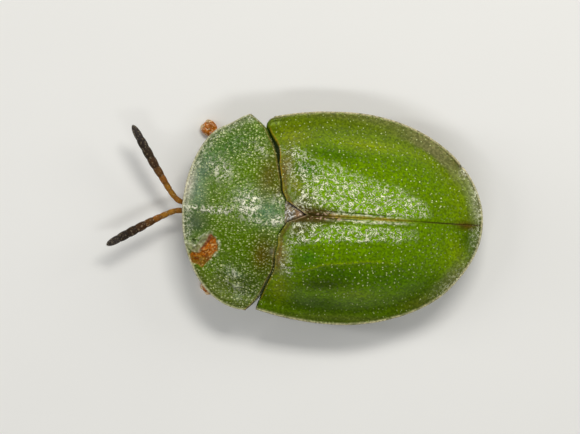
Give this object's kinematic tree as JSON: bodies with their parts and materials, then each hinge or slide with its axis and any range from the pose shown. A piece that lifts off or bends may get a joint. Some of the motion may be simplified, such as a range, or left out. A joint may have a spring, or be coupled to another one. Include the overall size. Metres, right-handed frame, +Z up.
{
  "type": "green tortoise beetle, life-size still model",
  "caption": "Flat domed green beetle, life size, standing: neck shield over the head, broad-rimmed wing covers, clubbed feelers, legs tucked under.",
  "frame": {"origin": "centre of the model's box on the floor that the feet stand on", "axes": "+Z up; +X from the head to the tail, so the animal looks to -X; +Y is the animal's right side, which is up in the picture"},
  "size_m": [0.0092, 0.005, 0.0026],
  "materials": {
    "shield": "satin",
    "wing_cover": "satin",
    "scutellum": "satin",
    "head": "satin",
    "eye": "gloss",
    "feeler": "matte",
    "underside": "satin",
    "abdomen": "satin",
    "leg": "satin",
    "foot": "satin"
  },
  "bodies": {
    "root": {"pronotum": "shield", "elytron_left": "wing_cover", "elytron_right": "wing_cover", "scutellum": "scutellum", "head": "head", "eye_left": "eye", "eye_right": "eye", "antenna_left": "feeler", "antenna_right": "feeler", "prothorax": "underside", "thorax": "underside", "abdomen": "abdomen", "femur_front_right": "leg", "tibia_front_right": "leg", "tarsus_front_right": "foot", "femur_front_left": "leg", "tibia_front_left": "leg", "tarsus_front_left": "foot", "femur_middle_right": "leg", "tibia_middle_right": "leg", "tarsus_middle_right": "foot", "femur_middle_left": "leg", "tibia_middle_left": "leg", "tarsus_middle_left": "foot", "femur_hind_right": "leg", "tibia_hind_right": "leg", "tarsus_hind_right": "foot", "femur_hind_left": "leg", "tibia_hind_left": "leg", "tarsus_hind_left": "foot"}
  },
  "joints": []
}
